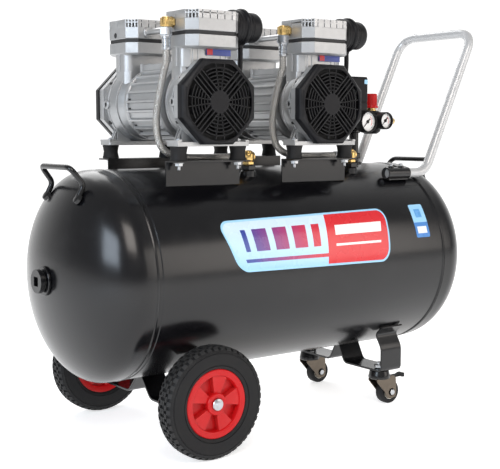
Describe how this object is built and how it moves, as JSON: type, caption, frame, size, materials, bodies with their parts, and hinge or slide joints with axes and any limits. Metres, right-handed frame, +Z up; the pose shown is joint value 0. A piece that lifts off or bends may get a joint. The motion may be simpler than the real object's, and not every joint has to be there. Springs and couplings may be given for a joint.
{
  "type": "air compressor",
  "caption": "Portable twin-head oil-free air compressor on a horizontal tank with large rear wheels, swivel casters, control group and tube handle.",
  "frame": {"origin": "middle of the footprint's bounding box, on the floor", "axes": "+X along the tank from the large wheels to the handle, +Z up, -Y is the front with the gauges and one pair of fan covers"},
  "size_m": [0.9994, 0.454, 0.7914],
  "materials": {
    "black_paint": "semi-gloss powder coat",
    "cast_aluminium": "die cast, satin",
    "black_plastic": "moulded, fine grain",
    "rubber": "matt moulded tread",
    "red_plastic": "moulded",
    "silver_paint": "gloss silver-white powder coat",
    "brass": "machined",
    "braided_steel": "woven wire braid over a rubber hose",
    "steel": "zinc plated",
    "gauge_enamel": "white dial in a black case"
  },
  "bodies": {
    "frame": {"tank_barrel": "black_paint", "tank_head_left": "black_paint", "tank_head_right": "black_paint", "inspection_plug": "black_paint", "lift_handle_left": "black_paint", "lift_handle_right": "black_paint", "wheel_bracket": "black_paint", "caster_bracket": "black_paint", "handle_socket_front": "black_paint", "handle_socket_rear": "black_paint", "crankcase_front_left": "cast_aluminium", "cylinder_head_front_left": "cast_aluminium", "fan_cover_front_left": "black_plastic", "mount_rail_front_left": "black_paint", "crankcase_rear_left": "cast_aluminium", "cylinder_head_rear_left": "cast_aluminium", "fan_cover_rear_left": "black_plastic", "mount_rail_rear_left": "black_paint", "motor_housing_left": "cast_aluminium", "intake_filter_left": "black_plastic", "outlet_elbow_left": "brass", "braided_hose_left": "braided_steel", "check_valve_left": "brass", "crankcase_front_right": "cast_aluminium", "cylinder_head_front_right": "cast_aluminium", "fan_cover_front_right": "black_plastic", "mount_rail_front_right": "black_paint", "crankcase_rear_right": "cast_aluminium", "cylinder_head_rear_right": "cast_aluminium", "fan_cover_rear_right": "black_plastic", "mount_rail_rear_right": "black_paint", "motor_housing_right": "cast_aluminium", "intake_filter_right": "black_plastic", "outlet_elbow_right": "brass", "braided_hose_right": "braided_steel", "check_valve_right": "brass", "pressure_switch": "black_plastic", "regulator_body": "black_plastic", "gauge_tank": "gauge_enamel", "gauge_outlet": "gauge_enamel"},
    "wheel_front": {"wheel_tyre_front": "rubber", "wheel_rim_front": "red_plastic"},
    "wheel_rear": {"wheel_tyre_rear": "rubber", "wheel_rim_rear": "red_plastic"},
    "caster_front": {"caster_fork_front": "steel"},
    "caster_rear": {"caster_fork_rear": "steel"},
    "caster_roll_front": {"caster_wheel_front": "rubber"},
    "caster_roll_rear": {"caster_wheel_rear": "rubber"},
    "brake_front": {"brake_pedal_front": "black_plastic"},
    "brake_rear": {"brake_pedal_rear": "black_plastic"},
    "handle": {"push_handle": "silver_paint"},
    "tap": {"drain_tap": "brass"},
    "switch_dial": {"switch_knob": "red_plastic"},
    "relief_pull": {"relief_ring": "steel"},
    "pressure_dial": {"regulator_knob": "red_plastic"},
    "collar": {"coupler_collar": "steel"},
    "needle_tank": {"gauge_needle_tank": "black_plastic"},
    "needle_outlet": {"gauge_needle_outlet": "black_plastic"},
    "rotor_left": {"motor_rotor_left": "steel"},
    "rotor_right": {"motor_rotor_right": "steel"}
  },
  "joints": [
    {"name": "wheel_front_roll", "type": "hinge", "parent": "frame", "child": "wheel_front", "pos_m": [-0.27002, -0.201, 0.1], "axis": [0, 1, 0], "continuous": true},
    {"name": "caster_front_swivel", "type": "hinge", "parent": "frame", "child": "caster_front", "pos_m": [0.21629, -0.113, 0.073], "axis": [0, 0, 1], "continuous": true},
    {"name": "caster_front_roll", "type": "hinge", "parent": "caster_front", "child": "caster_roll_front", "pos_m": [0.23928, -0.113, 0.025], "axis": [0, 1, 0], "continuous": true},
    {"name": "brake_front_press", "type": "hinge", "parent": "caster_front", "child": "brake_front", "pos_m": [0.24529, -0.113, 0.054], "axis": [0, 1, 0], "range_deg": [0, 12]},
    {"name": "wheel_rear_roll", "type": "hinge", "parent": "frame", "child": "wheel_rear", "pos_m": [-0.27002, 0.201, 0.1], "axis": [0, 1, 0], "continuous": true},
    {"name": "caster_rear_swivel", "type": "hinge", "parent": "frame", "child": "caster_rear", "pos_m": [0.21629, 0.113, 0.073], "axis": [0, 0, 1], "continuous": true},
    {"name": "caster_rear_roll", "type": "hinge", "parent": "caster_rear", "child": "caster_roll_rear", "pos_m": [0.23928, 0.113, 0.025], "axis": [0, 1, 0], "continuous": true},
    {"name": "brake_rear_press", "type": "hinge", "parent": "caster_rear", "child": "brake_rear", "pos_m": [0.24529, 0.113, 0.054], "axis": [0, 1, 0], "range_deg": [0, 12]},
    {"name": "handle_slide", "type": "slide", "parent": "frame", "child": "handle", "axis": [1, 0, 0], "range_m": [-0.024, 0.035]},
    {"name": "drain_turn", "type": "hinge", "parent": "frame", "child": "tap", "pos_m": [-0.17372, 0, 0.1], "axis": [0, 0, 1], "range_deg": [0, 180]},
    {"name": "switch_turn", "type": "hinge", "parent": "frame", "child": "switch_dial", "pos_m": [0.22628, 0.0253, 0.657], "axis": [0, 1, 0], "range_deg": [0, 45]},
    {"name": "relief_pull_slide", "type": "slide", "parent": "frame", "child": "relief_pull", "axis": [0, 1, 0], "range_m": [0, 0.003], "stiffness_N_per_m": 800},
    {"name": "pressure_turn", "type": "hinge", "parent": "frame", "child": "pressure_dial", "pos_m": [0.29029, 0, 0.63], "axis": [0, 0, 1], "range_deg": [-360, 360]},
    {"name": "collar_slide", "type": "slide", "parent": "frame", "child": "collar", "axis": [1, 0, 0], "range_m": [-0.006, 0], "stiffness_N_per_m": 400},
    {"name": "needle_tank_turn", "type": "hinge", "parent": "frame", "child": "needle_tank", "pos_m": [0.24128, -0.043, 0.5875], "axis": [0, 1, 0], "range_deg": [0, 270], "stiffness_Nm_per_rad": 0.002},
    {"name": "needle_outlet_turn", "type": "hinge", "parent": "frame", "child": "needle_outlet", "pos_m": [0.29229, -0.043, 0.59], "axis": [0, 1, 0], "range_deg": [0, 270], "stiffness_Nm_per_rad": 0.002},
    {"name": "rotor_left_spin", "type": "hinge", "parent": "frame", "child": "rotor_left", "pos_m": [-0.21771, 0, 0.6185], "axis": [0, 1, 0], "continuous": true},
    {"name": "rotor_right_spin", "type": "hinge", "parent": "frame", "child": "rotor_right", "pos_m": [0.04229, 0, 0.6185], "axis": [0, 1, 0], "continuous": true}
  ]
}
